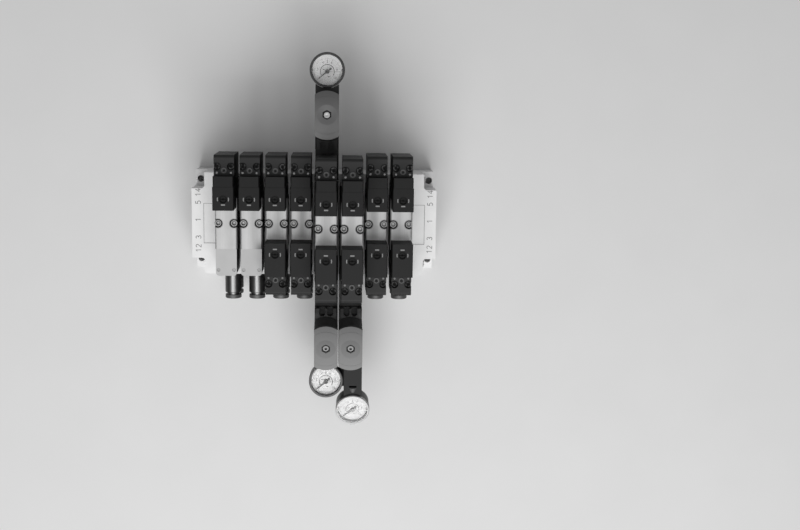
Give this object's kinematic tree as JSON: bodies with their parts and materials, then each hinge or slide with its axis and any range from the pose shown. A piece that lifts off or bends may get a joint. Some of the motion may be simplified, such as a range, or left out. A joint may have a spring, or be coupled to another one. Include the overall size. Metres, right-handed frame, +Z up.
{
  "type": "directional control valve bank",
  "caption": "Bank of slim solenoid directional control valves on a ported manifold with end plates, push-in fittings, and sandwich regulators with gauges.",
  "frame": {"origin": "centre of the manifold's underside, midway between the four mounting holes", "axes": "+X along the row from valve 1 to valve 8, +Y towards the 14 side of the valves, +Z up out of the manifold"},
  "size_m": [0.1926, 0.2949, 0.1417],
  "materials": {
    "cast_aluminium": "cast, shot blasted",
    "end_plate_grey": "cast, pale grey coating",
    "body_aluminium": "satin anodised",
    "seal_rubber": "matt",
    "zinc_steel": "zinc plated",
    "spring_steel": "ground",
    "nickel_brass": "nickel plated",
    "black_plastic": "fine moulded grain",
    "coil_black": "fine moulded grain",
    "regulator_black": "fine moulded grain",
    "cap_grey": "fine moulded grain",
    "cover_grey": "fine moulded grain",
    "override_grey": "smooth",
    "tinned_contact": "tin plated",
    "gauge_case_dark": "satin",
    "dial_white": "matt print",
    "lens_clear": "clear",
    "needle_black": "satin"
  },
  "bodies": {
    "valve_bank": {"manifold_blocks": "cast_aluminium", "end_plate_left": "end_plate_grey", "end_plate_right": "end_plate_grey", "seals": "seal_rubber", "tie_rods": "zinc_steel", "push_in_fittings": "nickel_brass", "blanking_plugs": "nickel_brass", "valve_body_1": "body_aluminium", "valve_body_2": "body_aluminium", "valve_body_3": "body_aluminium", "valve_body_4": "body_aluminium", "valve_body_5": "body_aluminium", "valve_body_6": "body_aluminium", "valve_body_7": "body_aluminium", "valve_body_8": "body_aluminium", "pilot_blocks": "black_plastic", "return_caps": "cap_grey", "return_spring_1": "spring_steel", "return_spring_2": "spring_steel", "solenoid_coils": "coil_black", "coil_armatures": "spring_steel", "contact_pins": "tinned_contact", "valve_screws": "zinc_steel", "pilot_screws": "zinc_steel", "regulator_plate_5": "body_aluminium", "regulator_plate_6": "body_aluminium", "regulator_bodies": "regulator_black", "regulator_covers": "cover_grey", "gauge_adapter": "regulator_black", "gauge_cases": "gauge_case_dark", "gauge_dials": "dial_white", "gauge_lenses": "lens_clear"},
    "spool_1": {"spool_1": "spring_steel"},
    "spool_2": {"spool_2": "spring_steel"},
    "spool_3": {"spool_3": "spring_steel"},
    "spool_4": {"spool_4": "spring_steel"},
    "spool_5": {"spool_5": "spring_steel"},
    "spool_6": {"spool_6": "spring_steel"},
    "spool_7": {"spool_7": "spring_steel"},
    "spool_8": {"spool_8": "spring_steel"},
    "override_14_1": {"override_14_1": "override_grey"},
    "override_14_2": {"override_14_2": "override_grey"},
    "override_14_3": {"override_14_3": "override_grey"},
    "override_14_4": {"override_14_4": "override_grey"},
    "override_14_5": {"override_14_5": "override_grey"},
    "override_14_6": {"override_14_6": "override_grey"},
    "override_14_7": {"override_14_7": "override_grey"},
    "override_14_8": {"override_14_8": "override_grey"},
    "override_12_3": {"override_12_3": "override_grey"},
    "override_12_4": {"override_12_4": "override_grey"},
    "override_12_5": {"override_12_5": "override_grey"},
    "override_12_6": {"override_12_6": "override_grey"},
    "override_12_7": {"override_12_7": "override_grey"},
    "override_12_8": {"override_12_8": "override_grey"},
    "adjusting_screw_1": {"adjusting_screw_1": "zinc_steel"},
    "gauge_needle_1": {"gauge_needle_1": "needle_black"},
    "adjusting_screw_2": {"adjusting_screw_2": "zinc_steel"},
    "gauge_needle_2": {"gauge_needle_2": "needle_black"},
    "adjusting_screw_3": {"adjusting_screw_3": "zinc_steel"},
    "gauge_needle_3": {"gauge_needle_3": "needle_black"}
  },
  "joints": [
    {"name": "spool_1_slide", "type": "slide", "parent": "valve_bank", "child": "spool_1", "axis": [0, -1, 0], "range_m": [0, 0.0036], "stiffness_N_per_m": 3000, "springref_m": -0.003, "deforming": ["return_spring_1"]},
    {"name": "spool_2_slide", "type": "slide", "parent": "valve_bank", "child": "spool_2", "axis": [0, -1, 0], "range_m": [0, 0.0036], "stiffness_N_per_m": 3000, "springref_m": -0.003, "deforming": ["return_spring_2"]},
    {"name": "spool_3_slide", "type": "slide", "parent": "valve_bank", "child": "spool_3", "axis": [0, -1, 0], "range_m": [0, 0.0036]},
    {"name": "spool_4_slide", "type": "slide", "parent": "valve_bank", "child": "spool_4", "axis": [0, -1, 0], "range_m": [0, 0.0036]},
    {"name": "spool_5_slide", "type": "slide", "parent": "valve_bank", "child": "spool_5", "axis": [0, -1, 0], "range_m": [0, 0.0036]},
    {"name": "spool_6_slide", "type": "slide", "parent": "valve_bank", "child": "spool_6", "axis": [0, -1, 0], "range_m": [0, 0.0036]},
    {"name": "spool_7_slide", "type": "slide", "parent": "valve_bank", "child": "spool_7", "axis": [0, -1, 0], "range_m": [0, 0.0036]},
    {"name": "spool_8_slide", "type": "slide", "parent": "valve_bank", "child": "spool_8", "axis": [0, -1, 0], "range_m": [0, 0.0036]},
    {"name": "override_14_1_press", "type": "slide", "parent": "valve_bank", "child": "override_14_1", "axis": [0, 0, -1], "range_m": [0, 0.0012], "stiffness_N_per_m": 2000, "springref_m": -0.001},
    {"name": "override_14_2_press", "type": "slide", "parent": "valve_bank", "child": "override_14_2", "axis": [0, 0, -1], "range_m": [0, 0.0012], "stiffness_N_per_m": 2000, "springref_m": -0.001},
    {"name": "override_14_3_press", "type": "slide", "parent": "valve_bank", "child": "override_14_3", "axis": [0, 0, -1], "range_m": [0, 0.0012], "stiffness_N_per_m": 2000, "springref_m": -0.001},
    {"name": "override_14_4_press", "type": "slide", "parent": "valve_bank", "child": "override_14_4", "axis": [0, 0, -1], "range_m": [0, 0.0012], "stiffness_N_per_m": 2000, "springref_m": -0.001},
    {"name": "override_14_5_press", "type": "slide", "parent": "valve_bank", "child": "override_14_5", "axis": [0, 0, -1], "range_m": [0, 0.0012], "stiffness_N_per_m": 2000, "springref_m": -0.001},
    {"name": "override_14_6_press", "type": "slide", "parent": "valve_bank", "child": "override_14_6", "axis": [0, 0, -1], "range_m": [0, 0.0012], "stiffness_N_per_m": 2000, "springref_m": -0.001},
    {"name": "override_14_7_press", "type": "slide", "parent": "valve_bank", "child": "override_14_7", "axis": [0, 0, -1], "range_m": [0, 0.0012], "stiffness_N_per_m": 2000, "springref_m": -0.001},
    {"name": "override_14_8_press", "type": "slide", "parent": "valve_bank", "child": "override_14_8", "axis": [0, 0, -1], "range_m": [0, 0.0012], "stiffness_N_per_m": 2000, "springref_m": -0.001},
    {"name": "override_12_3_press", "type": "slide", "parent": "valve_bank", "child": "override_12_3", "axis": [0, 0, -1], "range_m": [0, 0.0012], "stiffness_N_per_m": 2000, "springref_m": -0.001},
    {"name": "override_12_4_press", "type": "slide", "parent": "valve_bank", "child": "override_12_4", "axis": [0, 0, -1], "range_m": [0, 0.0012], "stiffness_N_per_m": 2000, "springref_m": -0.001},
    {"name": "override_12_5_press", "type": "slide", "parent": "valve_bank", "child": "override_12_5", "axis": [0, 0, -1], "range_m": [0, 0.0012], "stiffness_N_per_m": 2000, "springref_m": -0.001},
    {"name": "override_12_6_press", "type": "slide", "parent": "valve_bank", "child": "override_12_6", "axis": [0, 0, -1], "range_m": [0, 0.0012], "stiffness_N_per_m": 2000, "springref_m": -0.001},
    {"name": "override_12_7_press", "type": "slide", "parent": "valve_bank", "child": "override_12_7", "axis": [0, 0, -1], "range_m": [0, 0.0012], "stiffness_N_per_m": 2000, "springref_m": -0.001},
    {"name": "override_12_8_press", "type": "slide", "parent": "valve_bank", "child": "override_12_8", "axis": [0, 0, -1], "range_m": [0, 0.0012], "stiffness_N_per_m": 2000, "springref_m": -0.001},
    {"name": "adjusting_screw_1_turn", "type": "hinge", "parent": "valve_bank", "child": "adjusting_screw_1", "pos_m": [0.0095, 0.0872, 0.1], "axis": [0, 0.2079, 0.9781], "range_deg": [-900, 900]},
    {"name": "gauge_needle_1_swing", "type": "hinge", "parent": "valve_bank", "child": "gauge_needle_1", "pos_m": [0.0095, 0.1191, 0.069], "axis": [0, 0, -1], "range_deg": [0, 258], "stiffness_Nm_per_rad": 0.00002, "springref_deg": -11.46},
    {"name": "adjusting_screw_2_turn", "type": "hinge", "parent": "valve_bank", "child": "adjusting_screw_2", "pos_m": [0.0095, -0.0909, 0.1], "axis": [0, -0.2079, 0.9781], "range_deg": [-900, 900]},
    {"name": "gauge_needle_2_swing", "type": "hinge", "parent": "valve_bank", "child": "gauge_needle_2", "pos_m": [0.0095, -0.1252, 0.069], "axis": [0, 0, -1], "range_deg": [0, 258], "stiffness_Nm_per_rad": 0.00002, "springref_deg": -11.46},
    {"name": "adjusting_screw_3_turn", "type": "hinge", "parent": "valve_bank", "child": "adjusting_screw_3", "pos_m": [0.0285, -0.0909, 0.1], "axis": [0, -0.2079, 0.9781], "range_deg": [-900, 900]},
    {"name": "gauge_needle_3_swing", "type": "hinge", "parent": "valve_bank", "child": "gauge_needle_3", "pos_m": [0.0309, -0.14937, 0.06733], "axis": [0, 0.309, -0.9511], "range_deg": [0, 258], "stiffness_Nm_per_rad": 0.00002, "springref_deg": -11.46}
  ]
}
